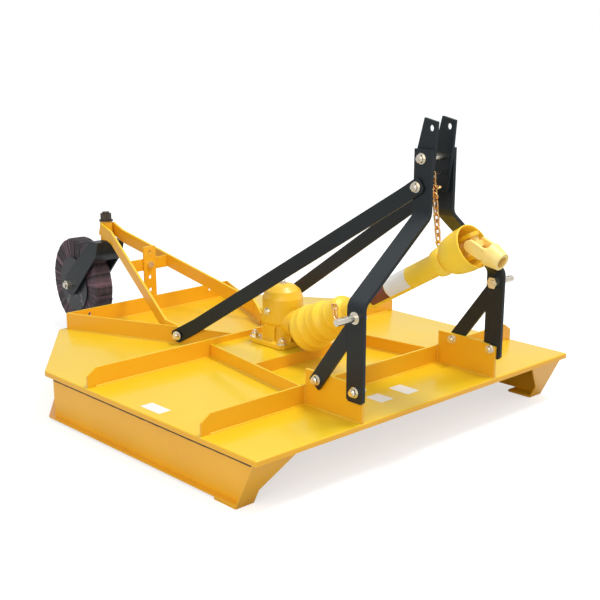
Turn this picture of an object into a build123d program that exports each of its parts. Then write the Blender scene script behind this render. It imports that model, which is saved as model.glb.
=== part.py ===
from build123d import *
import os
from math import atan2, cos, degrees, hypot, radians, sin, tan

# Three-point rotary mower. While it is modelled, X points forward from the middle of the deck,
# Y points to the machine's left and Z is the height above the floor. The last lines move the whole
# machine so that its origin lies on the floor under the middle of its overall length.

# Deck and its skirts
deck_length = 1536
deck_width = 1490
deck_height = 178
sheet = 5
lip_depth = 18
corner_cut_length = 428
corner_cut_width = 318
deck_corner_radius = 7
deck_cut_corner_radius = 30
skirt_inset = 27
flange_width = 21
skid_thickness = 8
skid_width = 69
skid_length = 92
front_plate_setback = 103
front_plate_lean = 0.5
front_plate_step = 47
rear_band_depth = 90
shaft_opening_radius = 60

# Ribs and plates welded on the deck
rib_thickness = 8
rib_height = 65
rib_clip_width = 35
rib_clip_height = 24
rib_end_gap = 7
mid_rib_x = -77
front_rib_setback = 248
rear_plate_setback = 30
rear_plate_end_gap = 23
rear_hole_from_end = 102
rear_hole_radius = 7
diagonal_rear_gap = 6
diagonal_front_y = 112
rail_height = 48
rail_rear_y = 222
rail_front_gap = 8
platform_thickness = 10
platform_height = 42
platform_front_x = 196
lug_thickness = 10
lug_height = 118
lug_front_drop = 10
lug_front_gap = 3
lug_y = 320

# Gearbox
gearbox_x = 60
gearbox_foot_radius = 64
gearbox_case_radius = 73
gearbox_case_bottom = 292
gearbox_shoulder_z = 388
gearbox_dome = [(62, 414), (42, 430), (24, 436)]
gearbox_flange_thickness = 18
gearbox_flange_half_width = 88
gearbox_flange_clip = 16
gearbox_fin_count = 8
gearbox_fin_thickness = 6
gearbox_fin_reach = 80
gearbox_boss_radius = 50
gearbox_boss_length = 10
gearbox_cap_radius = 40
input_shaft_z = 299
input_shaft_radius = 19
output_shaft_radius = 22

# Hitch
leg_width = 68
leg_thickness = 12
leg_setback = 24
leg_foot_z = 242
leg_low_bend_z = 543
leg_high_bend_z = 770
leg_top_z = 970
mast_half_gap = 46
leg_bend_radius = 36
leg_foot_clip = 8
knee_width = 50
knee_bolt_behind = 161
lug_bolt_z = 276
knee_end = 22
knee_top_z = 445
pin_radius = 11
pin_z = 504
pin_reach = 74
pin_collar = 4.5
pin_collar_radius = 19
pin_nut_across_flats = 36
pin_nut_thickness = 18
linch_hole_radius = 6
linch_hole_from_end = 24
link_lug_thickness = 10
link_lug_foot_z = 835
link_hole_ahead = 18
link_hole_z = 1032
link_hole_radius = 9.65
brace_bolt_behind = 16
brace_bolt_z = 857
spacer_behind = 2
spacer_z = 942
spacer_radius = 11
brace_width = 50
brace_thickness = 8
brace_foot_x = -284
brace_foot_z = 212
brace_end = 22
brace_straight = 60
bar_end_clip = 9

# Tail wheel arm and caster
arm_height = 50
arm_thickness = 10
arm_bend_x = -350
arm_straight = 83
swivel_behind = 287
arm_swivel_z = 485
swivel_tube_radius = 26
swivel_tube_bottom = 435
swivel_tube_top = 515
spindle_radius = 15
spindle_top = 554
spindle_nut_across_flats = 40
spindle_nut_height = 28
swivel_washer = 5
swivel_washer_radius = 30
height_strap_width = 58
height_strap_top = 450
cross_bar_height = 48
height_bolt_z = 375
height_hole_pitch = 53
height_hole_radius = 8
height_bolt_across_flats = 24
height_bolt_head = 10
height_bolt_nut = 12
height_bolt_end = 4
fork_trail = 239
fork_swing = 4.5
fork_thickness = 8
fork_gap = 5
fork_hump_radius = 38
fork_hump_back = 20
fork_front = 30
fork_front_z = 422
fork_web_bottom = 341
axle_radius = 12.5
axle_end = 31
axle_nut_across_flats = 36
axle_nut_thickness = 22
fork_foot_radius = 50
tyre_radius = 203
tyre_width = 86
tyre_edge = 7
tyre_bore_radius = 62
wheel_plate_thickness = 4
wheel_plate_radius = 120
hub_radius = 30
hub_reach = 8.7

# Driveline
joint_x = 206
driveline_angle = 29.6
driveline_length = 812
yoke_droop = 52
yoke_ear_radius = 18
yoke_ear_thickness = 12
yoke_half_gap = 25
yoke_reach = 56
yoke_barrel_radius = 27
coupling_length = 103
coupling_bore_radius = 17.5
cross_radius = 9
cap_radius = 12
guard_wall = 3
rear_tube_radius = 32
guard_web = 8
front_tube_start = 330
# Outlines of the guards as radius and distance along the shaft: ahead of the rear joint for the
# rear bell, behind the front joint for the front bell and the collar
rear_bell = [(80, -20), (80, 28), (70, 44), (68, 100), (56, 118), (52, 198), (32, 208)]
rear_bell_inside = [(77, -20), (65, 60), (50, 114), (48, 195)]
front_bell = [(52, 112), (62, 84), (67, 48), (67, 12)]
front_bell_inside = [(48, 107), (59, 82), (64, 48), (64, 12)]
front_bell_end = 115
collar_profile = [(43, 162), (46, 146), (44, 132), (39, 127)]
tab_hole_radius = 6
tab_hole_reach = 56
tab_hole_behind = 135
tab_thickness = 4
drive_bar_radius = 20

# Rotor and blades
blade_tip_radius = 690
blade_pivot_radius = 230
blade_width = 75
blade_thickness = 12
blade_z = 86
blade_drop = 24
blade_crank_start = 110
blade_crank_end = 150
blade_eye_radius = 42
pan_radius = 270
pan_thickness = 6
pan_rim_height = 24
hub_top_z = 160
pivot_bolt_radius = 15
pivot_head_radius = 24
pivot_head_thickness = 12

# Chain
chain_wire = 3.2
link_count = 10
chain_width = 22
chain_top_behind = 7
chain_top_z = 891
chain_pin_radius = 4

# Fits, and the number of flats round what is turned or moulded
running_gap = 0.08
seat_gap = 0.3
turned_sides = 48

half_length = deck_length / 2
half_width = deck_width / 2
deck_underside = deck_height - sheet
front_plate_foot = half_length - front_plate_setback
front_rib_x = half_length - front_rib_setback
rear_plate_x = rear_plate_setback - half_length
rear_plate_half_width = half_width - corner_cut_width - rear_plate_end_gap
leg_x = half_length - leg_setback
knee_bolt_x = leg_x - knee_bolt_behind
link_hole_x = leg_x + link_hole_ahead
brace_bolt_x = leg_x - brace_bolt_behind
spacer_x = leg_x - spacer_behind
chain_top_x = leg_x - chain_top_behind
swivel_x = -half_length - swivel_behind
tab_hole_s = driveline_length - tab_hole_behind
nodes = {}


def add_pair(name, right_shape):
    """Keep a piece of the right side and its mirror image on the left."""
    nodes["right_" + name] = right_shape
    nodes["left_" + name] = mirror(right_shape, about=Plane.XZ)


def box_between(low, high):
    size = [high[i] - low[i] for i in range(3)]
    middle = [(high[i] + low[i]) / 2 for i in range(3)]
    return Pos(*middle) * Box(*size)


def side_plate(outline, y_low, y_high):
    """A plate parallel to the XZ plane, from its outline in X and Z."""
    face = Plane.XZ * make_face(Polyline(*outline, close=True))
    return Pos(0, y_high, 0) * extrude(face, y_high - y_low)


def cross_plate(outline, x_low, x_high):
    """A plate parallel to the YZ plane, from its outline in Y and Z."""
    face = Plane.YZ * make_face(Polyline(*outline, close=True))
    return Pos(x_low, 0, 0) * extrude(face, x_high - x_low)


def flat_plate(outline, z_low, z_high):
    return Pos(0, 0, z_low) * extrude(make_face(Polyline(*outline, close=True)), z_high - z_low)


def drum(radius, length, sides=0):
    """A cylinder about Z, or a prism of so many sides where it is small or hidden."""
    if sides == 0:
        return Cylinder(radius, length)
    return Pos(0, 0, -length / 2) * extrude(RegularPolygon(radius, sides), length)


def turned(profile):
    """A solid about Z with many flats, from its outline in radius and height, which may hold level steps."""
    runs = [[]]
    for i, (radius, height) in enumerate(profile):
        if i > 0 and height == profile[i - 1][1]:
            runs.append([])
        runs[-1].append(Pos(0, 0, height) * RegularPolygon(radius, turned_sides))
    body = loft(runs[0], ruled=True)
    for run in runs[1:]:
        body += loft(run, ruled=True)
    return body


def cylinder_x(radius, x_low, x_high, y, z, sides=0):
    return Pos((x_low + x_high) / 2, y, z) * Rot(0, 90, 0) * drum(radius, x_high - x_low, sides)


def cylinder_y(radius, x, z, y_low, y_high, sides=0):
    return Pos(x, (y_low + y_high) / 2, z) * Rot(90, 0, 0) * drum(radius, y_high - y_low, sides)


def cylinder_z(radius, x, y, z_low, z_high, sides=0):
    return Pos(x, y, (z_low + z_high) / 2) * drum(radius, z_high - z_low, sides)


def hexagon_prism(across_flats, height):
    return extrude(RegularPolygon(across_flats / 2, 6, major_radius=False), height)


# Corners of the deck seen from above, for the right side: where the side turns into the cut rear
# corner, and where that turns into the rear edge.
corner_turn = atan2(corner_cut_width, corner_cut_length)


def side_corner(inset):
    """Corner of the side and the cut rear corner, moved inwards by an inset."""
    return (-half_length + corner_cut_length + inset * tan(corner_turn / 2), -half_width + inset)


def rear_corner(inset):
    """Corner of the cut rear corner and the rear edge, moved inwards by an inset."""
    back_off = inset * tan((radians(90) - corner_turn) / 2)
    return (-half_length + inset, -half_width + corner_cut_width + back_off)


def deck_outline(inset):
    right = [(half_length - inset, -half_width + inset), side_corner(inset), rear_corner(inset)]
    left = [(x, -y) for x, y in reversed(right)]
    return right + left


def front_plate_x(z):
    """Rear face of the leaning front corner plate at a height."""
    return front_plate_foot + front_plate_lean * z


# Deck: one sheet with a folded lip all round
deck_face = make_face(Polyline(*deck_outline(0), close=True))
deck_face = fillet(deck_face.vertices().group_by(Axis.X)[1], deck_cut_corner_radius)
end_corners = [v for v in deck_face.vertices() if abs(v.X) > half_length - sheet]
deck_face = fillet(end_corners, deck_corner_radius)
pocket_face = offset(deck_face, -sheet)
deck = Pos(0, 0, deck_height - lip_depth) * extrude(deck_face, lip_depth)
deck -= Pos(0, 0, deck_height - lip_depth) * extrude(pocket_face, lip_depth - sheet)
deck -= cylinder_z(shaft_opening_radius, gearbox_x, 0, deck_underside - 1, deck_height + 1, 16)
nodes["deck_plate"] = deck

# Skirts: side, cut corner and rear band, each with a web and an outward bottom flange
flange_outer = skirt_inset - flange_width
web_inner = skirt_inset + sheet


def side_strip(outer, inner, z_low, z_high):
    outline = [side_corner(outer), side_corner(inner), (half_length, -half_width + inner),
               (half_length, -half_width + outer)]
    return flat_plate(outline, z_low, z_high)


def corner_strip(outer, inner, z_low, z_high):
    outline = [side_corner(outer), side_corner(inner), rear_corner(inner), rear_corner(outer)]
    return flat_plate(outline, z_low, z_high)


def rear_strip(outer, inner, z_low, z_high):
    right_outer, right_inner = rear_corner(outer), rear_corner(inner)
    outline = [right_outer, right_inner, (right_inner[0], -right_inner[1]), (right_outer[0], -right_outer[1])]
    return flat_plate(outline, z_low, z_high)


flange_top = skid_thickness + sheet
front_side = side_plate([(front_plate_x(0), 0), (front_plate_x(deck_height), deck_height),
                         (half_length + 100, deck_height), (half_length + 100, 0)], -deck_width, 0)
side_skirt = side_strip(skirt_inset, web_inner, skid_thickness, deck_underside)
side_skirt += side_strip(flange_outer, skirt_inset, skid_thickness, flange_top)
add_pair("side_skirt", side_skirt - front_side)
corner_skirt = corner_strip(skirt_inset, web_inner, skid_thickness, deck_underside)
corner_skirt += corner_strip(flange_outer, skirt_inset, skid_thickness, flange_top)
add_pair("rear_corner_skirt", corner_skirt)
nodes["rear_band"] = rear_strip(skirt_inset, web_inner, deck_underside - rear_band_depth, deck_underside)

# Front corner shoe: a plate leaning back from the deck to the ground, a gusset on its inner edge
# and a skid foot turned rearwards under the skirt's flange
shoe_outer = -half_width + flange_outer
shoe_inner = shoe_outer + skid_width
lean_plate = side_plate([(front_plate_x(0), 0), (front_plate_x(0) + sheet, 0),
                         (front_plate_x(deck_underside) + sheet, deck_underside),
                         (front_plate_x(deck_underside), deck_underside)], shoe_outer, 0)
gusset_reach = deck_underside - front_plate_step
shoe_mask = cross_plate([(shoe_outer, 0), (shoe_inner, 0), (shoe_inner, front_plate_step),
                         (shoe_inner + gusset_reach, deck_underside), (shoe_outer, deck_underside)],
                        front_plate_foot - 10, half_length)
foot = box_between((front_plate_foot - skid_length, shoe_outer, 0), (front_plate_foot, shoe_inner, skid_thickness))
foot += side_plate([(front_plate_foot, 0), (front_plate_x(skid_thickness), skid_thickness),
                    (front_plate_foot, skid_thickness)], shoe_outer, shoe_inner)
add_pair("front_shoe", (lean_plate & shoe_mask) + foot)


# Ribs across the deck, with clipped upper corners
def cross_rib(x_front):
    end_y = half_width - rib_end_gap
    top = deck_height + rib_height
    outline = [(-end_y, deck_height), (-end_y, top - rib_clip_height), (-end_y + rib_clip_width, top),
               (end_y - rib_clip_width, top), (end_y, top - rib_clip_height), (end_y, deck_height)]
    return cross_plate(outline, x_front - rib_thickness, x_front)


nodes["mid_rib"] = cross_rib(mid_rib_x)
nodes["front_rib"] = cross_rib(front_rib_x)

rear_plate = box_between((rear_plate_x - rib_thickness, -rear_plate_half_width, deck_height),
                         (rear_plate_x, rear_plate_half_width, deck_height + rib_height))
rear_hole_y = rear_plate_half_width - rear_hole_from_end
for y in (-rear_hole_y, rear_hole_y):
    rear_plate -= cylinder_x(rear_hole_radius, rear_plate_x - rib_thickness - 1, rear_plate_x + 1, y,
                             deck_height + rib_height - 3 * rear_hole_radius, 12)
nodes["rear_plate"] = rear_plate


def wall_between(start, end, thickness, z_low, z_high):
    """A standing wall whose middle line runs between two plan points, cut square to X at both."""
    slope = (end[1] - start[1]) / (end[0] - start[0])
    half = thickness / 2 * hypot(1, slope)
    outline = [(start[0], start[1] - half), (end[0], end[1] - half),
               (end[0], end[1] + half), (start[0], start[1] + half)]
    return flat_plate(outline, z_low, z_high)


diagonal_start = (rear_plate_x, diagonal_rear_gap - rear_plate_half_width)
diagonal_end = (mid_rib_x - rib_thickness, -diagonal_front_y)
add_pair("diagonal_rib", wall_between(diagonal_start, diagonal_end, rib_thickness,
                                      deck_height, deck_height + rib_height))

rail_start = (mid_rib_x, -rail_rear_y)
rail_end = (front_rib_x - rib_thickness, rail_front_gap - lug_y)
add_pair("deck_rail", wall_between(rail_start, rail_end, rib_thickness, deck_height, deck_height + rail_height))


def line_y(start, end, x):
    """Y of the plan line through two points at an X."""
    return start[1] + (end[1] - start[1]) * (x - start[0]) / (end[0] - start[0])


# Gearbox platform: a plate let in between the rails, folded down to the deck at its front
rail_half = rib_thickness / 2 * hypot(1, (rail_end[1] - rail_start[1]) / (rail_end[0] - rail_start[0]))
platform_corners = [(x, line_y(rail_start, rail_end, x) + rail_half) for x in (mid_rib_x, platform_front_x)]
platform_outline = platform_corners + [(x, -y) for x, y in reversed(platform_corners)]
platform_top = deck_height + platform_height
platform = flat_plate(platform_outline, platform_top - platform_thickness, platform_top)
platform_lip = flat_plate(platform_outline, deck_height, platform_top)
platform_lip &= box_between((platform_front_x - platform_thickness, -half_width, 0),
                            (platform_front_x, half_width, deck_width))
platform += platform_lip
platform -= cylinder_z(shaft_opening_radius, gearbox_x, 0, deck_height - 1, platform_top + 1, 16)
nodes["gearbox_platform"] = platform

# Hitch lug plates, standing in front of the front rib
lug_top = deck_height + lug_height
lug_front = half_length - lug_front_gap
lug_outer = lug_y + lug_thickness / 2
lug_outline = [(front_rib_x, deck_height), (front_rib_x, lug_top), (lug_front - leg_width, lug_top),
               (lug_front, lug_top - lug_front_drop), (lug_front, deck_height)]
add_pair("hitch_lug", side_plate(lug_outline, -lug_outer, -lug_outer + lug_thickness))

# Gearbox housing: a domed round case on a finned foot and a bolted flange, with a boss round the
# input shaft and a cap behind
flange_z = platform_top + gearbox_flange_thickness
case_front = gearbox_x + gearbox_case_radius
case_rear = gearbox_x - gearbox_case_radius
case_profile = [(gearbox_foot_radius, flange_z), (gearbox_foot_radius, gearbox_case_bottom),
                (gearbox_case_radius, gearbox_case_bottom + gearbox_case_radius - gearbox_foot_radius),
                (gearbox_case_radius, gearbox_shoulder_z)] + gearbox_dome
case = Pos(gearbox_x, 0, 0) * turned(case_profile)
flange_face = chamfer(Rectangle(2 * gearbox_flange_half_width, 2 * gearbox_flange_half_width).vertices(),
                      gearbox_flange_clip)
case += Pos(gearbox_x, 0, platform_top) * extrude(flange_face, gearbox_flange_thickness)
fin_half = gearbox_fin_thickness / 2
fin = box_between((gearbox_foot_radius / 2, -fin_half, flange_z), (gearbox_fin_reach, fin_half, gearbox_case_bottom))
for i in range(gearbox_fin_count):
    case += Pos(gearbox_x, 0, 0) * Rot(0, 0, (i + 0.5) * 360 / gearbox_fin_count) * fin
case += cylinder_x(gearbox_boss_radius, gearbox_x, case_front + gearbox_boss_length, 0, input_shaft_z)
case += cylinder_x(gearbox_cap_radius, case_rear - gearbox_boss_length / 2, gearbox_x, 0, input_shaft_z, 32)
output_top_z = flange_z + gearbox_flange_thickness
case -= cylinder_z(output_shaft_radius + running_gap, gearbox_x, 0, platform_top - 1, output_top_z + seat_gap)
input_start_x = case_front - gearbox_boss_length
case -= cylinder_x(input_shaft_radius, input_start_x, case_front + gearbox_boss_length + 1, 0, input_shaft_z)
nodes["gearbox_housing"] = case

# Hitch legs: flat bars bent inwards to the mast
leg_outer_y = lug_outer + leg_thickness
leg_low_y = -lug_outer - leg_thickness / 2
leg_high_y = -mast_half_gap - leg_thickness / 2
leg_path = FilletPolyline((leg_x, leg_low_y, leg_foot_z), (leg_x, leg_low_y, leg_low_bend_z),
                          (leg_x, leg_high_y, leg_high_bend_z), (leg_x, leg_high_y, leg_top_z), radius=leg_bend_radius)
leg_section = Plane(origin=leg_path @ 0, x_dir=(1, 0, 0), z_dir=leg_path % 0) * Rectangle(leg_width, leg_thickness)
leg = sweep(leg_section, path=leg_path)
leg -= cylinder_y(pin_radius, leg_x, pin_z, -leg_outer_y - 1, -lug_outer + 1)
leg_half = leg_width / 2
foot_half = leg_half - leg_foot_clip
leg &= side_plate([(leg_x - leg_half, leg_foot_z + leg_foot_clip), (leg_x - foot_half, leg_foot_z),
                   (leg_x + foot_half, leg_foot_z),
                   (leg_x + leg_half, leg_foot_z + leg_foot_clip), (leg_x + leg_half, leg_top_z),
                   (leg_x - leg_half, leg_top_z)],
                  -deck_width, 0)
add_pair("hitch_leg", leg)

# Knee braces from the lug's rear bolt up to the leg
leg_rear_x = leg_x - leg_width / 2
knee_angle = atan2(knee_top_z - lug_bolt_z, leg_rear_x - knee_bolt_x)
knee_side = knee_width / 2
knee_along = (cos(knee_angle), sin(knee_angle))
knee_across = (-knee_along[1], knee_along[0])


def knee_point(along, across):
    return (knee_bolt_x + along * knee_along[0] + across * knee_across[0],
            lug_bolt_z + along * knee_along[1] + across * knee_across[1])


knee_low_rise = tan(knee_angle) * (leg_rear_x - knee_bolt_x)
knee_half_rise = knee_side / cos(knee_angle)
knee_outline = [knee_point(-knee_end, knee_side), knee_point(-knee_end, -knee_side),
                (leg_rear_x, lug_bolt_z + knee_low_rise - knee_half_rise),
                (leg_rear_x, lug_bolt_z + knee_low_rise + knee_half_rise)]
add_pair("knee_brace", side_plate(knee_outline, -leg_outer_y, -lug_outer))

# Lower hitch pins: a pin with a collar outside the leg and a nut inside
pin = cylinder_y(pin_radius, leg_x, pin_z, -leg_outer_y - pin_collar - pin_reach, -lug_outer + pin_nut_thickness + 4)
pin += cylinder_y(pin_collar_radius, leg_x, pin_z, -leg_outer_y - pin_collar, -leg_outer_y, 24)
pin += Pos(leg_x, -lug_outer, pin_z) * Rot(-90, 0, 0) * hexagon_prism(pin_nut_across_flats, pin_nut_thickness)
linch_y = -leg_outer_y - pin_collar - pin_reach + linch_hole_from_end
pin -= cylinder_z(linch_hole_radius, leg_x, linch_y, pin_z - 2 * pin_radius, pin_z + 2 * pin_radius, 8)
add_pair("lower_hitch_pin", pin)

# Top link lugs between the bars of the mast
# corners as distance ahead of the leg's middle and height above the lug's foot
link_lug_corners = [(-32, 0), (-35, 131), (-9, 227), (42, 217), (34, 115), (22, 0)]
link_outline = [(leg_x + ahead, link_lug_foot_z + up) for ahead, up in link_lug_corners]
link_lug = side_plate(link_outline, -mast_half_gap, -mast_half_gap + link_lug_thickness)
link_inner = mast_half_gap - link_lug_thickness
link_lug -= cylinder_y(link_hole_radius, link_hole_x, link_hole_z, -mast_half_gap - 1, -link_inner + 1)
add_pair("top_link_lug", link_lug)
nodes["mast_spacer"] = cylinder_y(spacer_radius, spacer_x, spacer_z, -link_inner, link_inner, 16)

# Rear braces: flat bars on edge from the mast down to the diagonal ribs
rib_slope = atan2(diagonal_end[1] - diagonal_start[1], diagonal_end[0] - diagonal_start[0])
rib_face_shift = rib_thickness / 2 / cos(rib_slope)
rib_outer_y = line_y(diagonal_start, diagonal_end, brace_foot_x) - rib_face_shift
mast_outer_y = -mast_half_gap - leg_thickness
brace_top = (brace_bolt_x + brace_end, mast_outer_y)
brace_bend_high = (brace_bolt_x - brace_straight, mast_outer_y)
brace_low_bend_x = brace_foot_x + brace_straight
brace_bend_low = (brace_low_bend_x, line_y(diagonal_start, diagonal_end, brace_low_bend_x) - rib_face_shift)
brace_foot_rear_x = brace_foot_x - brace_end
brace_foot = (brace_foot_rear_x, line_y(diagonal_start, diagonal_end, brace_foot_rear_x) - rib_face_shift)


def plan_strip(points, thickness, z_low, z_high):
    """A standing strip whose inner face follows plan points, its thickness towards -Y."""
    outline = list(points)
    for i in range(len(points) - 1, -1, -1):
        before = points[max(i - 1, 0)]
        here = points[i]
        after = points[min(i + 1, len(points) - 1)]
        first = atan2(here[1] - before[1], here[0] - before[0]) if i > 0 else None
        second = atan2(after[1] - here[1], after[0] - here[0]) if i < len(points) - 1 else None
        first = second if first is None else first
        second = first if second is None else second
        middle = (first + second) / 2
        reach = thickness / cos((second - first) / 2)
        outline.append((here[0] + reach * sin(middle), here[1] - reach * cos(middle)))
    return flat_plate(outline, z_low, z_high)


def bar_outline(start, end, width, start_end, end_end, clip=0):
    """Side view of a straight bar through two bolts, with so much bar beyond each and clipped end corners."""
    run = hypot(end[0] - start[0], end[1] - start[1])
    along = ((end[0] - start[0]) / run, (end[1] - start[1]) / run)
    half = width / 2
    far = run + end_end
    corners = [(-start_end, half - clip), (-start_end, -half + clip), (far, -half + clip), (far, half - clip)]
    if clip > 0:
        corners.insert(2, (clip - start_end, -half))
        corners.insert(3, (far - clip, -half))
        corners += [(far - clip, half), (clip - start_end, half)]
    return [(start[0] + a * along[0] - b * along[1], start[1] + a * along[1] + b * along[0]) for a, b in corners]


brace_plan = [(brace_foot[0] - brace_width, brace_foot[1] - brace_width * tan(rib_slope)),
              brace_bend_low, brace_bend_high,
              (brace_top[0] + brace_width, brace_top[1])]
brace = plan_strip(brace_plan, brace_thickness, 0, link_hole_z)
brace &= side_plate(bar_outline((brace_foot_x, brace_foot_z), (brace_bolt_x, brace_bolt_z), brace_width, brace_end, brace_end,
                                bar_end_clip), -half_width, 0)
add_pair("rear_brace", brace)

# Tail wheel arm: two bars on edge from the diagonal ribs to the swivel tube
arm_foot_y = line_y(diagonal_start, diagonal_end, brace_foot_x) + rib_face_shift
arm_shift = arm_thickness / cos(rib_slope)
arm_bend = (arm_bend_x, line_y(diagonal_start, diagonal_end, arm_bend_x) + rib_face_shift + arm_shift)
arm_end_x = brace_foot_x + arm_height
arm_end = (arm_end_x, line_y(diagonal_start, diagonal_end, arm_end_x) + rib_face_shift + arm_shift)
arm_turn = (swivel_x + arm_straight, -swivel_tube_radius + 1)
arm = plan_strip([(swivel_x - arm_height, arm_turn[1]), arm_turn, arm_bend, arm_end], arm_thickness, 0, deck_width)
arm &= side_plate(bar_outline((swivel_x, arm_swivel_z), (brace_foot_x, brace_foot_z), arm_height, 0,
                              arm_height * 0.4), -half_width, 0)
arm -= cylinder_z(swivel_tube_radius, swivel_x, 0, swivel_tube_bottom - 100, swivel_tube_top + 100)
add_pair("tail_arm", arm)

swivel_tube = cylinder_z(swivel_tube_radius, swivel_x, 0, swivel_tube_bottom, swivel_tube_top)
swivel_tube -= cylinder_z(spindle_radius + running_gap, swivel_x, 0, swivel_tube_bottom - 1, swivel_tube_top + 1)
nodes["swivel_tube"] = swivel_tube

# Height strap behind the rear plate, and the arm's cross bar bolted to it
strap_front_x = rear_plate_x - rib_thickness
strap_rear_x = strap_front_x - rib_thickness
strap = box_between((strap_rear_x, -height_strap_width / 2, deck_height),
                    (strap_front_x, height_strap_width / 2, height_strap_top))
for i in (-2, -1, 0, 1):
    strap -= cylinder_x(height_hole_radius, strap_rear_x - 1, strap_front_x + 1, 0,
                        height_bolt_z + i * height_hole_pitch, 12)
nodes["height_strap"] = strap
cross_bar_rear_x = strap_rear_x - rib_thickness
cross_low = line_y(arm_turn, arm_bend, strap_rear_x)
cross_high = line_y(arm_turn, arm_bend, cross_bar_rear_x)
cross_bar = flat_plate([(strap_rear_x, cross_low), (strap_rear_x, -cross_low), (cross_bar_rear_x, -cross_high),
                        (cross_bar_rear_x, cross_high)], height_bolt_z - cross_bar_height / 2,
                       height_bolt_z + cross_bar_height / 2)
cross_bar -= cylinder_x(height_hole_radius, cross_bar_rear_x - 1, strap_rear_x + 1, 0, height_bolt_z, 12)
nodes["arm_cross_bar"] = cross_bar
height_bolt = Pos(strap_front_x, 0, height_bolt_z) * Rot(0, 90, 0) * hexagon_prism(height_bolt_across_flats, height_bolt_head)
height_bolt += cylinder_x(height_hole_radius, cross_bar_rear_x - height_bolt_nut - height_bolt_end, strap_front_x, 0,
                          height_bolt_z, 12)
height_bolt += Pos(cross_bar_rear_x, 0, height_bolt_z) * Rot(0, -90, 0) * hexagon_prism(height_bolt_across_flats, height_bolt_nut)
nodes["height_bolt"] = height_bolt

# Caster: drawn trailing straight back from the swivel, then swung to its place in the plan
hub_half_length = tyre_width / 2 + wheel_plate_thickness + hub_reach
fork_inner = hub_half_length + seat_gap
fork_outer = fork_inner + fork_thickness
fork_top_z = swivel_tube_bottom - fork_gap
axle_x = swivel_x - fork_trail
axle_z = tyre_radius
fork_nose = swivel_x + fork_front
hump_z = fork_top_z - fork_hump_radius
fork_side = make_hull(Polyline((fork_nose, fork_top_z), (fork_nose, fork_front_z)).edges()
                      + (Pos(swivel_x - fork_hump_back, hump_z) * CenterArc((0, 0), fork_hump_radius, 0, 360)).edges()
                      + (Pos(axle_x, axle_z) * CenterArc((0, 0), fork_foot_radius, 0, 360)).edges())
fork = Pos(0, fork_outer, 0) * extrude(Plane.XZ * fork_side, 2 * fork_outer)
under_top = fork_top_z - fork_thickness
web_run = hypot(fork_thickness, fork_thickness)
fork_rear = axle_x - fork_foot_radius - 1
fork -= side_plate([(fork_nose - fork_front_z + under_top - web_run, under_top),
                    (fork_nose - fork_front_z + fork_web_bottom - web_run, fork_web_bottom),
                    (fork_nose + 1, fork_web_bottom), (fork_nose + 1, 0), (fork_rear, 0), (fork_rear, under_top)],
                   -fork_inner, fork_inner)
fork -= cylinder_y(axle_radius, axle_x, axle_z, -fork_outer - 1, fork_outer + 1)
washer_top = swivel_tube_top + swivel_washer
spindle = cylinder_z(spindle_radius, swivel_x, 0, fork_top_z, spindle_top)
spindle += cylinder_z(swivel_tube_radius, swivel_x, 0, fork_top_z, swivel_tube_bottom - seat_gap, 24)
spindle += cylinder_z(swivel_washer_radius, swivel_x, 0, swivel_tube_top + seat_gap, washer_top, 24)
spindle += Pos(swivel_x, 0, washer_top) * hexagon_prism(spindle_nut_across_flats, spindle_nut_height)
axle = cylinder_y(axle_radius, axle_x, axle_z, -fork_outer - axle_end, fork_outer + axle_end)
for side in (-1, 1):
    nut = hexagon_prism(axle_nut_across_flats, axle_nut_thickness)
    axle += Pos(axle_x, side * fork_outer, axle_z) * Rot(-90 * side, 0, 0) * nut

tyre = Cylinder(tyre_radius, tyre_width) - Cylinder(tyre_bore_radius, tyre_width)
tyre = chamfer(tyre.edges().filter_by(GeomType.CIRCLE).filter_by(lambda e: e.radius > tyre_bore_radius + 1),
               tyre_edge)
tyre = Pos(axle_x, 0, axle_z) * Rot(90, 0, 0) * tyre
wheel_hub = drum(hub_radius, 2 * hub_half_length, 24)
for side in (-1, 1):
    wheel_hub += Pos(0, 0, side * (tyre_width + wheel_plate_thickness) / 2) * drum(wheel_plate_radius, wheel_plate_thickness, 40)
wheel_hub -= Cylinder(axle_radius + running_gap, 2 * hub_half_length + 2)
wheel_hub = Pos(axle_x, 0, axle_z) * Rot(90, 0, 0) * wheel_hub

swing = Pos(swivel_x, 0, 0) * Rot(0, 0, -fork_swing) * Pos(-swivel_x, 0, 0)
nodes["caster_fork"] = swing * fork
nodes["caster_spindle"] = swing * spindle
nodes["caster_axle"] = swing * axle
nodes["tail_tyre"] = swing * tyre
nodes["tail_wheel_hub"] = swing * wheel_hub

# Driveline: drawn along +Z from the rear joint, then laid along its axis
shaft_place = Pos(joint_x, 0, input_shaft_z) * Rot(0, 90 - driveline_angle, 0)


def yoke(reach, ear_along_x, sides=0):
    """A yoke whose joint centre is the origin and whose base lies at -reach, its pin along X or Y."""
    ear_height = reach - 6
    ears = Part()
    for side in (-1, 1):
        middle = side * (yoke_half_gap + yoke_ear_thickness / 2)
        ears += Pos(middle, 0, -ear_height / 2) * Box(yoke_ear_thickness, 2 * yoke_ear_radius, ear_height)
        ears += Pos(middle, 0, 0) * Rot(0, 90, 0) * drum(yoke_ear_radius, yoke_ear_thickness, 2 * sides)
    ears -= Rot(0, 90, 0) * drum(cap_radius, 4 * yoke_half_gap, sides)
    base_width = 2 * (yoke_half_gap + yoke_ear_thickness)
    base = Pos(0, 0, -reach + 3) * Box(base_width, 2 * yoke_ear_radius, 14)
    body = ears + (base & drum(base_width / 2, 3 * reach, 2 * sides))
    return body if ear_along_x else Rot(0, 0, 90) * body


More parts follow.
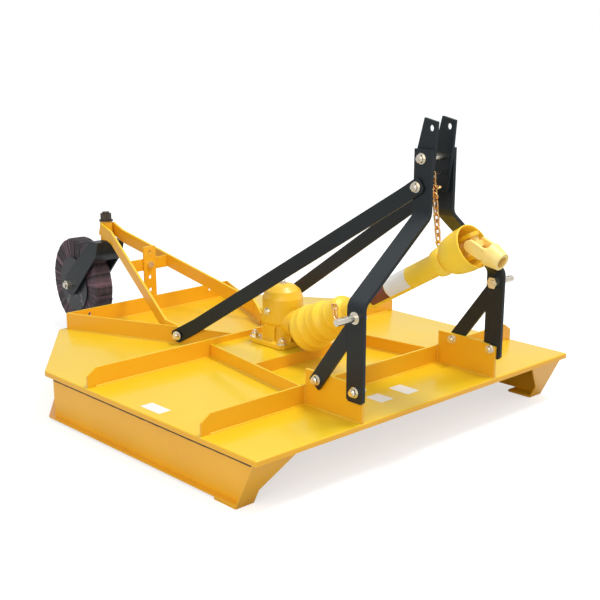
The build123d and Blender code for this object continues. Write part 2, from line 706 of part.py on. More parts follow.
def cross_piece(sides=0):
    """The four-armed cross with its bearing caps."""
    cap_start = yoke_half_gap - 1
    cap_length = yoke_ear_thickness + 1
    body = Box(2 * cap_start, 2 * cross_radius, 2 * cross_radius) + Box(2 * cross_radius, 2 * cap_start, 2 * cross_radius)
    for turn in (0, 90, 180, 270):
        cap = Pos(0, 0, cap_start + cap_length / 2) * drum(cap_radius - running_gap, cap_length, sides)
        body += Rot(0, 0, turn) * Rot(0, 90, 0) * cap
    return body


input_shaft = cylinder_x(input_shaft_radius, input_start_x, joint_x - yoke_reach + 6, 0, input_shaft_z)
input_yoke = Pos(joint_x, 0, input_shaft_z) * Rot(0, 90, 0) * yoke(yoke_reach, False, 12)
nodes["gearbox_input_shaft"] = input_shaft + input_yoke
nodes["rear_cross"] = shaft_place * cross_piece(12)
rear_yoke = Rot(180, 0, 0) * yoke(yoke_reach, True, 12)
front_yoke = Pos(0, 0, driveline_length) * yoke(yoke_reach, True)
drive_bar = Pos(0, 0, driveline_length / 2) * drum(drive_bar_radius, driveline_length - 2 * yoke_reach + 8, 24)
nodes["drive_shaft"] = shaft_place * (rear_yoke + front_yoke + drive_bar)


def guard(outside, inside):
    """A round guard from its outlines in radius and distance along the shaft."""
    return shaft_place * (turned(outside) - turned(inside))


def behind_front(outline):
    """An outline measured back from the front joint, as one measured from the rear joint."""
    return [(radius, driveline_length - distance) for radius, distance in outline]


tube_end = front_tube_start + 60
bearing_radius = drive_bar_radius + seat_gap
rear_tube_inside = rear_tube_radius - guard_wall
rear_web_start = rear_bell_inside[-1][1]
rear_inner = rear_bell_inside + [(bearing_radius, rear_web_start), (bearing_radius, rear_web_start + guard_web),
                                 (rear_tube_inside, rear_web_start + guard_web), (rear_tube_inside, tube_end)]
nodes["rear_driveline_guard"] = guard(rear_bell + [(rear_tube_radius, tube_end)], rear_inner)

front_tube_radius = rear_tube_radius + seat_gap + guard_wall
front_tube_inside = front_tube_radius - guard_wall
front_inside = behind_front(front_bell_inside)
front_web_end = front_inside[0][1]
front_inner = [(front_tube_inside, front_tube_start), (front_tube_inside, front_web_end - guard_web),
               (bearing_radius, front_web_end - guard_web), (bearing_radius, front_web_end)] + front_inside
front_outer = [(front_tube_radius, front_tube_start), (front_tube_radius, driveline_length - front_bell_end)]
nodes["front_driveline_guard"] = guard(front_outer + behind_front(front_bell), front_inner)
collar = behind_front(collar_profile)
collar_bore = [(front_tube_radius, collar[0][1]), (front_tube_radius, collar[-1][1])]
tab_place = shaft_place * Pos(-tab_hole_reach, 0, tab_hole_s)
tab_root = tab_hole_reach - front_tube_radius - guard_wall
tab_low = -tab_hole_radius - guard_wall
tab = box_between((tab_low, -tab_thickness / 2, tab_low), (tab_root, tab_thickness / 2, -tab_low))
tab -= cylinder_y(tab_hole_radius, 0, 0, -tab_thickness, tab_thickness, 12)
nodes["guard_collar"] = guard(collar, collar_bore) + tab_place * tab

# Front joint: the cross in the shaft's yoke, and the coupling yoke hanging from it
joint_place = shaft_place * Pos(0, 0, driveline_length)
nodes["front_cross"] = joint_place * cross_piece()
coupling = Rot(180, 0, 0) * yoke(yoke_reach, False)
barrel_length = coupling_length - yoke_reach
coupling += turned([(yoke_half_gap + yoke_ear_thickness, yoke_reach), (yoke_barrel_radius, coupling_length)])
coupling -= Pos(0, 0, yoke_reach + coupling_length / 2) * Cylinder(coupling_bore_radius, coupling_length)
nodes["coupling_yoke"] = joint_place * Rot(0, yoke_droop, 0) * coupling

# Chain from the mast to the guard's collar
nodes["chain_pin"] = cylinder_y(chain_pin_radius, chain_top_x, chain_top_z, -link_inner, link_inner, 12)
tab_point = tab_place.position
chain_start = Vector(chain_top_x, 0, chain_top_z)
chain_run = Vector(tab_point.X, 0, tab_point.Z) - chain_start
bow_reach = chain_pin_radius + chain_wire + seat_gap
tab_slack = tab_hole_radius - chain_wire - 2 * seat_gap
link_step = (chain_run.length - tab_slack + bow_reach - 2 * chain_wire - seat_gap) / link_count


def chain_link(length, width, wire):
    """A link of six-sided wire, from the length and width of its centre line."""
    half, side = length / 2, width / 2
    bend = half - side / 2
    path = Polyline((0, side), (-bend, side), (-half, side / 2), (-half, -side / 2), (-bend, -side), (bend, -side),
                    (half, -side / 2), (half, side / 2), (bend, side), (0, side))
    section = Plane(origin=(0, side, 0), x_dir=(0, 1, 0), z_dir=(-1, 0, 0))
    section *= RegularPolygon(wire, 6, major_radius=False, rotation=30)
    return sweep(section, path=path, transition=Transition.RIGHT)


chain_plane = Plane(origin=chain_start, x_dir=chain_run, z_dir=(0, 1, 0))
links = []
link_length = link_step + 2 * chain_wire + seat_gap
for i in range(link_count):
    place = chain_plane.location * Pos(link_length / 2 - bow_reach + i * link_step, 0, 0) * Rot(90 * (i % 2), 0, 0)
    links.append(place * chain_link(link_length, chain_width - 2 * chain_wire, chain_wire))
nodes["chain"] = Compound(children=links)

# Rotor: output shaft, dished pan and two swinging blades
hub = cylinder_z(output_shaft_radius, gearbox_x, 0, hub_top_z, output_top_z)
hub += cylinder_z(2 * output_shaft_radius, gearbox_x, 0, blade_z + blade_thickness + pan_thickness, hub_top_z, 16)
nodes["rotor_hub"] = hub
pan_bottom = blade_z + blade_thickness + 1
pan_top = blade_z + blade_thickness + pan_thickness
pan_profile = [(0, pan_bottom), (pan_radius - pan_rim_height, pan_bottom), (pan_radius, pan_bottom + pan_rim_height),
               (pan_radius, pan_bottom + pan_rim_height + pan_thickness),
                (pan_radius - pan_rim_height - 3, pan_top), (0, pan_top)]
pan = revolve(Plane.XZ * make_face(Polyline(*pan_profile, close=True)), Axis.Z)
pan = Pos(gearbox_x, 0, 0) * pan
nodes["rotor_pan"] = pan
blade_length = blade_tip_radius - blade_pivot_radius
for number, turn in ((1, 90), (2, 270)):
    turn_place = Pos(gearbox_x, 0, 0) * Rot(0, 0, turn) * Pos(blade_pivot_radius, 0, 0)
    bolt = cylinder_z(pivot_bolt_radius, 0, 0, blade_z - seat_gap, pan_bottom)
    bolt += cylinder_z(pivot_head_radius, 0, 0, blade_z - pivot_head_thickness, blade_z - seat_gap, 16)
    nodes[f"blade_bolt_{number}"] = turn_place * bolt
    lower_edge = [(-blade_eye_radius, blade_z), (blade_crank_start, blade_z), (blade_crank_end, blade_z - blade_drop),
                  (blade_length, blade_z - blade_drop)]
    side_view = lower_edge + [(x, z + blade_thickness) for x, z in reversed(lower_edge)]
    blade = side_plate(side_view, -blade_width / 2, blade_width / 2)
    blade &= box_between((0, -blade_width, 0), (blade_length, blade_width, deck_height)) + cylinder_z(
        blade_eye_radius, 0, 0, 0, deck_height)
    blade -= cylinder_z(pivot_bolt_radius + running_gap, 0, 0, 0, deck_height)
    nodes[f"blade_{number}"] = turn_place * blade

# Move the machine onto its reference frame and write the files
whole = Compound(children=[Compound(children=list(shape.solids())) for shape in nodes.values()])
extent = whole.bounding_box()
frame_shift = Pos(-(extent.min.X + extent.max.X) / 2, 0, -extent.min.Z)
print("frame shift", round(frame_shift.position.X, 4), round(frame_shift.position.Z, 4))
os.makedirs("parts", exist_ok=True)
for name, shape in nodes.items():
    placed = frame_shift * shape
    solids = placed.solids()
    export_step(solids[0] if len(solids) == 1 else Compound(children=list(solids)), f"parts/{name}.step")
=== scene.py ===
import math

import bmesh
import bpy
from mathutils import Matrix, Vector


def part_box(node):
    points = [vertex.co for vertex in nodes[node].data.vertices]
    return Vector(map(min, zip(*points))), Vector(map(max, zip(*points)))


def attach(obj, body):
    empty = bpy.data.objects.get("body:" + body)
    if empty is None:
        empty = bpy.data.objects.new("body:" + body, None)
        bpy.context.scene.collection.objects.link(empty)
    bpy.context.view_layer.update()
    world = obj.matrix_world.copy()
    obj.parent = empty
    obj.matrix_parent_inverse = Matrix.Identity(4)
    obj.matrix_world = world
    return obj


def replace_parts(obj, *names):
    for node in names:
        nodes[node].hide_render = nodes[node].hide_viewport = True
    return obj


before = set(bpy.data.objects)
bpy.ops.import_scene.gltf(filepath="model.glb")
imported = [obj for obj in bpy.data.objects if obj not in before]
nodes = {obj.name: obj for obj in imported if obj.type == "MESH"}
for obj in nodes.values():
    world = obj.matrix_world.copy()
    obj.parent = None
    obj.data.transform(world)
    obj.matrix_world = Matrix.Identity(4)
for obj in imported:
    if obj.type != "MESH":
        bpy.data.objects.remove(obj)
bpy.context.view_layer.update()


# Deck: sheet steel with a folded lip, and the skirts, ribs, rails and lugs welded on it. All of it was
# washed, primed and sprayed with one glossy yellow enamel, a little orange-peeled, with dust settled
# in patches on the faces turned up.
class Wire:
    """The output of a node, on which arithmetic adds Math nodes."""

    def __init__(self, bench, socket):
        self.bench = bench
        self.socket = socket

    def reckon(self, operation, first, second):
        return self.bench.add("ShaderNodeMath", {"operation": operation}, {0: first, 1: second})

    def __add__(self, other):
        return self.reckon("ADD", self, other)

    def __radd__(self, other):
        return self.reckon("ADD", other, self)

    def __rsub__(self, other):
        return self.reckon("SUBTRACT", other, self)

    def __mul__(self, other):
        return self.reckon("MULTIPLY", self, other)

    def __rmul__(self, other):
        return self.reckon("MULTIPLY", other, self)

    def __truediv__(self, other):
        return self.reckon("DIVIDE", self, other)

    def __mod__(self, other):
        return self.reckon("MODULO", self, other)

    def __pow__(self, other):
        return self.reckon("POWER", self, other)

    def __gt__(self, other):
        return self.reckon("GREATER_THAN", self, other)


class Bench:
    """A node tree on which nodes are laid and joined."""

    def __init__(self, tree, **inlets):
        self.tree = tree
        if inlets:
            tree.interface.new_socket("Geometry", in_out="OUTPUT", socket_type="NodeSocketGeometry")
            for name, kind in inlets.items():
                tree.interface.new_socket(name, in_out="INPUT", socket_type="NodeSocket" + kind)
            entry = tree.nodes.new("NodeGroupInput")
            self.inlets = {name: Wire(self, entry.outputs[name]) for name in inlets}

    def add(self, kind, settings=None, values=None, out=0):
        """Lays a node: its settings first, then the values or links of its sockets."""
        node = self.tree.nodes.new(kind)
        for key, value in (settings or {}).items():
            setattr(node, key, value)
        for key, value in (values or {}).items():
            for one in value if isinstance(value, list) else [value]:
                if isinstance(one, Wire):
                    self.tree.links.new(one.socket, node.inputs[key])
                else:
                    node.inputs[key].default_value = one
        return Wire(self, node.outputs[out])

    def join(self, *values):
        """Joins three numbers into a vector."""
        return self.add("ShaderNodeCombineXYZ", {}, dict(enumerate(values)))

    def chance(self, low, high, seed):
        """A number drawn anew for each point or instance."""
        return self.add("FunctionNodeRandomValue", {"data_type": "FLOAT"}, {2: low, 3: high, "Seed": seed}, 1)

    def close(self, geometry):
        """Ends a tree that grows shapes: instances made real, and the material set."""
        real = self.add("GeometryNodeRealizeInstances", {}, {0: geometry})
        whole = self.add("GeometryNodeSetMaterial", {}, {"Geometry": real, "Material": self.inlets["Finish"]})
        self.tree.links.new(whole.socket, self.tree.nodes.new("NodeGroupOutput").inputs[0])


class Finish(Bench):
    """A surface finish, laid down as shader nodes."""

    def __init__(self, name, **constants):
        self.material = bpy.data.materials.new(name)
        self.material.use_nodes = True
        super().__init__(self.material.node_tree)
        self.shader = self.tree.nodes["Principled BSDF"]
        for socket, value in constants.items():
            self.shader.inputs[socket.replace("_", " ")].default_value = value
        self.place = self.add("ShaderNodeTexCoord", out="Object")

    def noise(self, scale, detail=3, roughness=0.5):
        return self.add("ShaderNodeTexNoise", {}, {"Vector": self.place, "Scale": scale, "Detail": detail,
                                                   "Roughness": roughness})

    def part(self, vector, axis):
        return self.add("ShaderNodeSeparateXYZ", {}, {0: vector}, axis)

    def normal(self):
        return self.add("ShaderNodeNewGeometry", out="Normal")

    def blend(self, factor, first, second):
        """Mixes two colours."""
        first, second = ((*colour, 1) if isinstance(colour, tuple) else colour for colour in (first, second))
        return self.add("ShaderNodeMix", {"data_type": "RGBA"}, {0: factor, 6: first, 7: second}, 2)

    def spread(self, value, low, high):
        """Stretches the part of a value between low and high over 0 to 1."""
        return self.add("ShaderNodeMapRange", {"clamp": True},
                        {"Value": value, "From Min": low, "From Max": high})

    def bump(self, height, distance, strength):
        return self.add("ShaderNodeBump", {}, {"Height": height, "Distance": distance, "Strength": strength})

    def cover(self, **wires):
        """Lays varying values on the shader, and gives the material."""
        for socket, wire in wires.items():
            self.tree.links.new(wire.socket, self.shader.inputs[socket.replace("_", " ")])
        return self.material


def coat(material, *names):
    for name in names:
        nodes[name].data.materials.clear()
        nodes[name].data.materials.append(material)


peel_scale, peel_depth, peel_strength = 380.0, 0.00025, 0.45


def enamel(name, colour, deep, lit_top, dust, roughness, coat_weight, gleam):
    """Sprayed enamel in its colour and a deeper one, a painted highlight colour on faces turned up, and the
    colour of the dust settled on them.
    """
    finish = Finish(name, IOR=1.5, Specular_IOR_Level=gleam, Coat_Weight=coat_weight, Coat_Roughness=0.1)
    patches = finish.noise(2.6, 4)
    peel = finish.noise(peel_scale, 2)
    level = finish.spread(finish.part(finish.normal(), "Z"), 0.2, 0.9)
    settled = finish.spread(finish.noise(7.0, 8, 0.65), 0.52, 0.8) * level
    tone = finish.blend(finish.spread(patches, 0.3, 0.7), deep, colour)
    # Faces turned up blend to the third colour, a painted highlight for the light from above.
    tone = finish.blend(level * (0.55 + patches * 0.7), tone, lit_top)
    tone = finish.blend(settled * 0.3, tone, dust)
    shine = roughness + settled * 0.25 + finish.noise(55.0, 5) * 0.08
    return finish.cover(Base_Color=tone, Roughness=shine, Normal=finish.bump(peel, peel_depth, peel_strength))


# Its third colour, a paler lemon, is a painted highlight for the tops lit from above.
yellow_enamel = enamel("yellow_enamel", (0.87, 0.44, 0.014), (0.82, 0.395, 0.011), (0.78, 0.535, 0.013),
                       (0.81, 0.64, 0.14), 0.28, 0.25, 0.42)
deck_body = "deck"
deck_low, deck_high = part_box("deck_plate")
deck_middle = (deck_low.x + deck_high.x) / 2


def at(x, y, z):
    """A place on the machine from millimetres ahead of the deck's middle, to its left and above the floor."""
    return Vector((deck_middle + x / 1000, y / 1000, z / 1000))


def made(name, mesh, body, material):
    """A piece of the scene from its mesh, with the body it rides on."""
    piece = bpy.data.objects.new(name, mesh)
    bpy.context.scene.collection.objects.link(piece)
    mesh.materials.clear()
    mesh.materials.append(material)
    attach(piece, body)
    return piece


def closed(work, name):
    """The mesh that a piece of work ends in."""
    mesh = bpy.data.meshes.new(name)
    work.to_mesh(mesh)
    work.free()
    return mesh


def worked(source, *modifiers):
    """The mesh that a mesh becomes under some modifiers, each a type and its settings."""
    blank = bpy.data.objects.new("blank", source)
    bpy.context.scene.collection.objects.link(blank)
    for kind, settings in modifiers:
        modifier = blank.modifiers.new(kind.lower(), kind)
        for key, value in settings.items():
            setattr(modifier, key, value)
    result = bpy.data.meshes.new_from_object(blank.evaluated_get(bpy.context.evaluated_depsgraph_get()))
    bpy.data.objects.remove(blank)
    return result


def bevelled(mesh, width, angle):
    """Breaks the edges that turn by more than an angle in degrees."""
    return worked(mesh, ("BEVEL", {"width": width, "segments": 2, "limit_method": "ANGLE",
                                   "angle_limit": math.radians(angle)}))


def smoothed(mesh, angle=16):
    mesh.polygons.foreach_set("use_smooth", [True] * len(mesh.polygons))
    mesh.set_sharp_from_angle(angle=math.radians(angle))
    return mesh


def merged(node):
    """A joined-up copy of a node's mesh, its flat faces in one piece."""
    work = bmesh.new()
    work.from_mesh(nodes[node].data)
    bmesh.ops.remove_doubles(work, verts=work.verts, dist=0.00002)
    bmesh.ops.dissolve_limit(work, angle_limit=math.radians(1), verts=work.verts, edges=work.edges)
    return closed(work, node + "_copy")


def dressed(material, slot, body, width, *names):
    """Stands a copy with broken edges in for each plain plate."""
    for name in names:
        piece = made(name + "_finished", smoothed(bevelled(merged(name), width, 40)), body, material)
        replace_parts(piece, name)


skirts = ["right_side_skirt", "left_side_skirt", "right_rear_corner_skirt", "left_rear_corner_skirt",
          "rear_band"]
welded_on = ["mid_rib", "front_rib", "rear_plate", "right_diagonal_rib", "left_diagonal_rib",
             "right_deck_rail", "left_deck_rail", "right_hitch_lug", "left_hitch_lug"]
coat(yellow_enamel, "deck_plate", "right_front_shoe", "left_front_shoe", "gearbox_platform", *welded_on)
work = bmesh.new()
work.from_mesh(merged("deck_plate"))
fold_radius = 0.006
top_edges = []
for edge in work.edges:
    both_ends = edge.verts[0].co + edge.verts[1].co
    on_top = all(vertex.co.z > deck_high.z - 0.0005 for vertex in edge.verts)
    if on_top and abs(both_ends.y) + abs(both_ends.x - 2 * deck_middle) > 0.6:
        top_edges.append(edge)
bmesh.ops.bevel(work, geom=top_edges, offset=fold_radius, segments=4, affect="EDGES", profile=0.5)
bmesh.ops.recalc_face_normals(work, faces=work.faces)
folded = smoothed(closed(work, "deck_folded"))
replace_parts(made("deck_sheet", folded, deck_body, yellow_enamel), "deck_plate")
plate_edge = 0.0015
dressed(yellow_enamel, "yellow_paint", deck_body, plate_edge, *welded_on)

skirt = Finish("skirt_enamel", IOR=1.5, Coat_Weight=0.3, Coat_Roughness=0.15)
from_middle = skirt.add("ShaderNodeVectorMath", {"operation": "SUBTRACT"},
                        {0: skirt.place, 1: (deck_middle, 0, 0)})
outward = skirt.add("ShaderNodeVectorMath", {"operation": "DOT_PRODUCT"},
                    {0: from_middle, 1: skirt.normal()}, "Value")
# Painted shadow under the lip: near black on the skirts' outer faces above about 140 mm.
lip_shadow_height = skirt.part(skirt.place, "Z") + skirt.noise(30.0, 3) * 0.003
painted_lip_shadow = skirt.spread(lip_shadow_height, 0.1385, 0.1405) * (outward > 0.0)
# The skirts' yellow is a little lighter than the deck's enamel: a painted highlight for the light on these
# upright faces.
skirt_lit_tone = skirt.blend(skirt.spread(skirt.noise(2.6, 4), 0.3, 0.7),
                         (0.88, 0.43, 0.011), (0.93, 0.48, 0.014))
grime = skirt.spread(skirt.noise(9.0, 8, 0.7), 0.55, 0.85)
skirt_lit_tone = skirt.blend(grime * 0.25, skirt_lit_tone, (0.5, 0.26, 0.04))
skirt_enamel = skirt.cover(Base_Color=skirt.blend(painted_lip_shadow, skirt_lit_tone, (0.012, 0.01, 0.008)),
                           Roughness=0.3 + painted_lip_shadow * 0.5 + grime * 0.2,
                           Normal=skirt.bump(skirt.noise(peel_scale, 2), peel_depth, peel_strength))
coat(skirt_enamel, *skirts)


# Welds: beads run by hand along the foot of every rib, rail and lug after tacking, rippled where the
# wire paused, and painted over with the deck.
def grown(name, seed, bench, body, slot, material, **sizes):
    """A plain mesh piece from what a tree grows on a seed mesh."""
    blank = bpy.data.objects.new("blank", seed)
    bpy.context.scene.collection.objects.link(blank)
    modifier = blank.modifiers.new("grow", "NODES")
    modifier.node_group = bench.tree
    settings = {"Finish": material, **sizes}
    for item in bench.tree.interface.items_tree:
        if item.in_out == "INPUT" and item.name in settings:
            modifier[item.identifier] = settings[item.name]
    mesh = bpy.data.meshes.new_from_object(blank.evaluated_get(bpy.context.evaluated_depsgraph_get()))
    blank.modifiers.remove(modifier)
    bpy.data.objects.remove(blank)
    return made(name, mesh, body, material)


weld = Bench(bpy.data.node_groups.new("weld_bead", "GeometryNodeTree"), Geometry="Geometry", Bead="Float",
             Pitch="Float", Finish="Material")
seam = weld.inlets
run = weld.add("GeometryNodeMeshToCurve", {}, {0: seam["Geometry"]})
run = weld.add("GeometryNodeResampleCurve", {"mode": "LENGTH"}, {"Curve": run, "Length": seam["Pitch"]})
ripple = weld.add("GeometryNodeInputIndex") % 2 * 0.22 + weld.chance(0.75, 1.05, 4)
run = weld.add("GeometryNodeSetCurveRadius", {}, {"Curve": run, "Radius": ripple})
ring = weld.add("GeometryNodeCurvePrimitiveCircle", {}, {"Resolution": 7, "Radius": seam["Bead"]})
bead = weld.add("GeometryNodeCurveToMesh", {}, {"Curve": run, "Profile Curve": ring, "Fill Caps": True})
weld.close(weld.add("GeometryNodeSetShadeSmooth", {}, {0: bead}))

deck_top = 178
rib_end_y = 708
cross_ribs_x = (-77, -85, 520, 512)
rear_plate_foot = ((-738, 398), (-746, 400))
slanted_feet = ([(-736, 398), (-87, 112)], [(-75, 222), (510, 312)])
half_foot = 4.4
lug_rear_x, lug_front_x, lug_top = 520, 762, 240
seams = [[at(x, -rib_end_y, deck_top), at(x, rib_end_y, deck_top)] for x in cross_ribs_x]
seams += [[at(x, -y, deck_top), at(x, y, deck_top)] for x, y in rear_plate_foot]
for side in (-1, 1):
    for shift in (-half_foot, half_foot):
        seams += [[at(x, side * (y + shift), deck_top) for x, y in foot] for foot in slanted_feet]
    for y in (315, 325):
        seams.append([at(lug_rear_x + 2, side * y, deck_top), at(lug_front_x, side * y, deck_top)])
        seams.append([at(lug_rear_x, side * y, deck_top + 4), at(lug_rear_x, side * y, lug_top)])
weld_paths = bpy.data.meshes.new("weld_paths")
seam_ends = [end for path in seams for end in path]
weld_paths.from_pydata(seam_ends, [(2 * i, 2 * i + 1) for i in range(len(seams))], [])
grown("deck_welds", weld_paths, weld, deck_body, "yellow_paint", yellow_enamel, Bead=0.0042, Pitch=0.0055)

# Blank plates: three bare foil labels on the deck, cut thin with small round corners and pressed flat
# on the paint. Nothing is printed on them.
foil = Finish("label_foil", Roughness=0.4, Coat_Weight=0.2)
foil.cover(Base_Color=foil.blend(foil.noise(18.0, 4), (0.72, 0.71, 0.68), (0.86, 0.85, 0.82)),
           Roughness=0.35 + foil.noise(60.0, 3) * 0.2)
foil_thickness = 0.4


def plate(low, high):
    """A thin rounded plate between two corners."""
    work = bmesh.new()
    bmesh.ops.create_cube(work, size=1)
    size = high - low
    placed = Matrix.Translation((low + high) / 2) @ Matrix.Diagonal((*size, 1))
    bmesh.ops.transform(work, matrix=placed, verts=work.verts)
    upright = [e for e in work.edges if abs(e.verts[0].co.z - e.verts[1].co.z) > size.z / 2]
    corner = min(size.x, size.y) * 0.06
    bmesh.ops.bevel(work, geom=upright, offset=corner, segments=4, affect="EDGES", profile=0.5)
    return closed(work, "plate")


labels = [(230, -690, 98, 46), (640, -112, 70, 56), (636, 8, 84, 56)]
for number, (x, y, length, width) in enumerate(labels, 1):
    label = plate(at(x - length / 2, y - width / 2, deck_top),
                  at(x + length / 2, y + width / 2, deck_top + foil_thickness))
    made(f"deck_label_{number}", label, deck_body, foil.material)

# Hitch frame: two bent flat bars, knee braces, rear braces and top link lugs, saw-cut, drilled and
# bolted together, in black enamel. The caster's fork wears the same.
# Its third colour, a lighter grey, is a painted highlight for the tops lit from above.
black_enamel = enamel("black_enamel", (0.013, 0.019, 0.023), (0.009, 0.013, 0.016), (0.026, 0.033, 0.037),
                      (0.05, 0.048, 0.045), 0.36, 0.06, 0.3)
hitch_bars = ["right_hitch_leg", "left_hitch_leg", "right_knee_brace", "left_knee_brace",
              "right_top_link_lug", "left_top_link_lug", "right_rear_brace", "left_rear_brace"]
coat(black_enamel, "caster_fork", *hitch_bars)
dressed(black_enamel, "black_paint", deck_body, plate_edge, *hitch_bars)
dressed(black_enamel, "black_paint", "caster", 0.002, "caster_fork")

# Bolts: zinc plated with a yellow passivation, hexagon heads and nuts on washers, all on the hitch
# and on the gearbox's flange.
zinc = Finish("passivated_zinc", Metallic=1.0)
cloud = zinc.noise(70.0, 4)
zinc_plate = zinc.cover(Base_Color=zinc.blend(cloud, (0.74, 0.66, 0.5), (0.95, 0.92, 0.85)),
                        Roughness=0.2 + cloud * 0.18)

bolt = Bench(bpy.data.node_groups.new("bolt", "GeometryNodeTree"), Geometry="Geometry", Across="Float",
             Height="Float", Washer="Float", Stub="Float", Finish="Material")
size = bolt.inlets
washer_height = 0.003
corners_to_flats = 0.577
head_share = 0.86


def standing(shape, lift):
    """Lifts a shape along its own axis."""
    return bolt.add("GeometryNodeTransform", {},
                    {"Geometry": shape, "Translation": bolt.join(0.0, 0.0, lift)})


head = bolt.add("GeometryNodeMeshCylinder", {}, {
    "Vertices": 6, "Radius": size["Across"] * corners_to_flats, "Depth": size["Height"] * head_share})
crown = bolt.add("GeometryNodeMeshCone", {}, {
    "Vertices": 24, "Radius Top": size["Across"] * 0.42, "Radius Bottom": size["Across"] * 0.5,
    "Depth": size["Height"] * (1 - head_share)})
disc = bolt.add("GeometryNodeMeshCylinder", {}, {
    "Vertices": 28, "Radius": size["Washer"], "Depth": washer_height})
shank = bolt.add("GeometryNodeMeshCylinder", {}, {
    "Vertices": 16, "Radius": size["Across"] * 0.31, "Depth": size["Stub"]})
whole = bolt.add("GeometryNodeJoinGeometry", {}, {0: [
    standing(head, size["Height"] * (head_share / 2) + washer_height),
    standing(crown, size["Height"] * head_share + washer_height),
    standing(disc, washer_height / 2), standing(shank, size["Stub"] / 2)]})
facing = bolt.add("GeometryNodeInputNamedAttribute", {"data_type": "FLOAT_VECTOR"}, {"Name": "facing"})
lined_up = bolt.add("FunctionNodeAlignRotationToVector", {"axis": "Z"}, {"Vector": facing})
placed = bolt.add("GeometryNodeInstanceOnPoints", {}, {
    "Points": size["Geometry"], "Instance": whole, "Rotation": lined_up})
turn = bolt.join(0.0, 0.0, bolt.chance(0.0, 1.0, 9))
bolt.close(bolt.add("GeometryNodeRotateInstances", {}, {"Instances": placed, "Rotation": turn}))


def marked(name, places, ways):
    """A mesh of points for a tree to grow on, each facing a way."""
    points = bpy.data.meshes.new(name + "_places")
    points.from_pydata(places, [], [])
    facings = points.attributes.new("facing", "FLOAT_VECTOR", "POINT")
    facings.data.foreach_set("vector", [value for way in ways for value in way])
    return points


def bolts(name, slot, material, places, across, height, washer, stub=0.0):
    """Hexagon heads or nuts on the deck's body, each at a place and facing a way."""
    points = marked(name, [place for place, way in places], [way for place, way in places])
    return grown(name, points, bolt, deck_body, slot, material, Across=across / 1000, Height=height / 1000,
                 Washer=washer / 1000, Stub=max(stub, height) / 1000)


lug_outer_y, lug_inner_y, mast_y, link_lug_y = 337, 315, 58, 66
hitch_places = []
for side in (-1, 1):
    outwards, inwards = Vector((0, side, 0)), Vector((0, -side, 0))
    for x, z in ((583, 276), (745, 276)):
        hitch_places += [(at(x, side * lug_outer_y, z), outwards), (at(x, side * lug_inner_y, z), inwards)]
    hitch_places += [(at(728, side * link_lug_y, 857), outwards), (at(740, side * mast_y, 942), outwards),
                     (at(-284, side * 218.5, 212), Vector((0.4, side, 0)).normalized())]
bolts("hitch_bolts", "zinc_plate", zinc_plate, hitch_places, 24, 12, 17, 20)

# Lower hitch pins: turned steel pins with a collar and a nut, zinc plated. The spacer, the height bolt
# and the caster's axle are plated with them.
coat(zinc_plate, "right_lower_hitch_pin", "left_lower_hitch_pin", "mast_spacer", "height_bolt", "chain",
     "chain_pin", "caster_axle")

# Gearbox: one iron casting on a flange held by four bolts, its sand-cast skin and run-in corners under
# the deck's yellow. Small screws close the covers round its input shaft, and two plugs its oil holes.
cast_finish = Finish("cast_yellow", IOR=1.5, Coat_Weight=0.3, Coat_Roughness=0.2)
grain = cast_finish.noise(700.0, 3)
lumps = cast_finish.noise(90.0, 3)
cast_yellow = cast_finish.cover(
    Base_Color=cast_finish.blend(cast_finish.noise(8.0, 4), (0.86, 0.49, 0.012), (0.92, 0.58, 0.018)),
    Roughness=0.3 + grain * 0.15, Normal=cast_finish.bump(grain * 0.5 + lumps, 0.0012, 0.7))
casting = worked(merged("gearbox_housing"), ("REMESH", {"mode": "VOXEL", "voxel_size": 0.0024}),
                 ("SMOOTH", {"factor": 0.5, "iterations": 5}))
casting.polygons.foreach_set("use_smooth", [True] * len(casting.polygons))
housing = made("gearbox_housing_casting", casting, deck_body, cast_yellow)
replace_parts(housing, "gearbox_housing")

gearbox_x, shaft_z = 60, 299
flange_bolt, flange_top = 72, 238
upwards = Vector((0, 0, 1))
flange_places = [(at(gearbox_x + flange_bolt * i, flange_bolt * j, flange_top), upwards)
                 for i in (-1, 1) for j in (-1, 1)]
bolts("flange_bolts", "zinc_plate", zinc_plate, flange_places, 24, 14, 19, 24)


def round_shaft(count, turn, radius, x, ahead):
    """Places on a circle round the input shaft, the first at a turn in degrees, facing ahead or back."""
    turns = [math.radians(360 / count * i + turn) for i in range(count)]
    return [(at(x, radius * math.cos(a), shaft_z + radius * math.sin(a)), Vector((ahead, 0, 0)))
            for a in turns]


cover_places = round_shaft(6, 30, 42, 142.5, 1) + round_shaft(4, 45, 33, -17.5, -1)
bolts("cover_screws", "gearbox_paint", cast_yellow, cover_places, 10, 6, 7)
plug_places = [(at(gearbox_x, 0, 435.5), upwards), (at(gearbox_x, -72.5, 345), Vector((0, -1, 0)))]
bolts("oil_plugs", "zinc_plate", zinc_plate, plug_places, 19, 8, 14)

# Driveline guards: two telescoped tubes of yellow plastic with a ringed, stepped bell at the gearbox
# and a bowl at the tractor's end, moulded, smooth and slightly waxy.
guard_finish = Finish("guard_plastic", IOR=1.46, Subsurface_Weight=0.04)
smudge = guard_finish.noise(9.0, 6, 0.6)
guard_plastic = guard_finish.cover(
    Base_Color=guard_finish.blend(smudge, (0.92, 0.56, 0.02), (0.97, 0.68, 0.06)),
    Roughness=0.34 + smudge * 0.16, Normal=guard_finish.bump(guard_finish.noise(120.0, 2), 0.0004, 0.5))
shaft_slope = math.radians(29.6)
shaft_start = at(206, 0, shaft_z)
shaft_place = Matrix.Translation(shaft_start) @ Matrix.Rotation(math.radians(90) - shaft_slope, 4, "Y")


def on_shaft(work, name):
    """The mesh of work done along an upright axis, laid on the driveline's own."""
    bmesh.ops.transform(work, matrix=shaft_place, verts=work.verts)
    bmesh.ops.recalc_face_normals(work, faces=work.faces)
    return closed(work, name)


